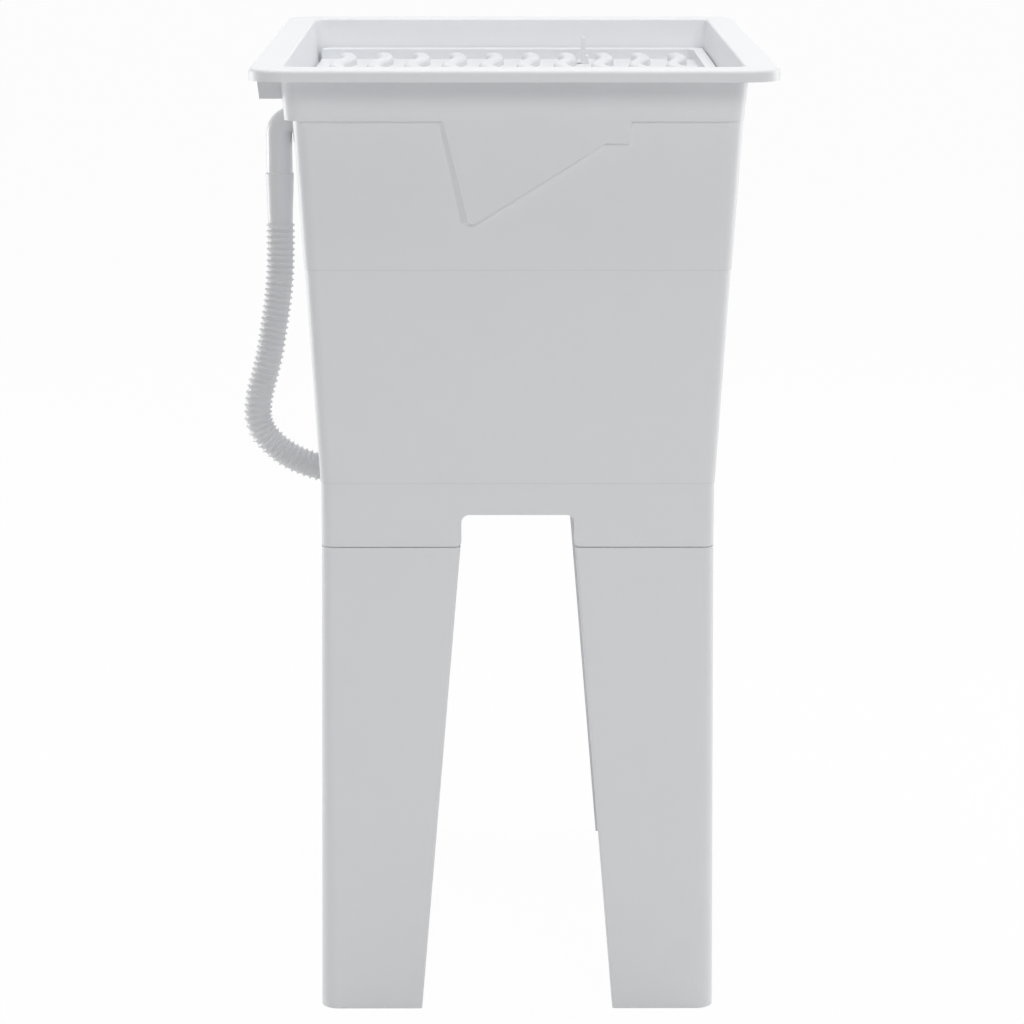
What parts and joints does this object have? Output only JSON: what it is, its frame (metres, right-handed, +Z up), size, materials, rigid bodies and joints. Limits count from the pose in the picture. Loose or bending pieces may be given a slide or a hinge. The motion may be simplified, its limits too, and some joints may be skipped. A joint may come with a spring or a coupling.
{
  "type": "utility laundry sink",
  "caption": "Deep plastic laundry tub on a frame with tapered angle legs, with a lift-off ribbed washboard and a rear overflow hose.",
  "frame": {"origin": "on the floor under the middle of the rim", "axes": "+Z up, +X towards the user, -X towards the wall, Y along the long side of the tub"},
  "size_m": [0.4801, 0.6, 0.85],
  "materials": {
    "white_plastic": "satin white moulded polypropylene",
    "board_plastic": "satin white moulded polypropylene",
    "waste_plastic": "satin white polypropylene",
    "hose_plastic": "satin pale grey polyethylene",
    "seal_rubber": "matte black rubber",
    "plug_rubber": "matte white rubber",
    "stainless": "bright stainless steel"
  },
  "bodies": {
    "sink": {"tub": "white_plastic", "leg_frame": "white_plastic", "leg_rear_left": "white_plastic", "leg_rear_right": "white_plastic", "leg_front_left": "white_plastic", "leg_front_right": "white_plastic", "leg_screws": "stainless", "seat_screws": "stainless", "strainer": "waste_plastic", "waste_screw": "stainless", "waste_seal": "seal_rubber", "waste_body": "waste_plastic", "waste_tail": "waste_plastic", "overflow_grille": "waste_plastic", "overflow_screw": "stainless", "overflow_washer": "seal_rubber", "overflow_elbow": "waste_plastic", "upper_cuff": "hose_plastic", "overflow_hose": "hose_plastic", "lower_cuff": "hose_plastic"},
    "washboard": {"washboard": "board_plastic", "pull_tab": "board_plastic"},
    "plug": {"plug": "plug_rubber"}
  },
  "joints": [
    {"name": "washboard_lift", "type": "slide", "parent": "sink", "child": "washboard", "axis": [0, 0, 1], "range_m": [0, 0.12]},
    {"name": "plug_lift", "type": "slide", "parent": "sink", "child": "plug", "axis": [0, 0, 1], "range_m": [0, 0.12]}
  ]
}
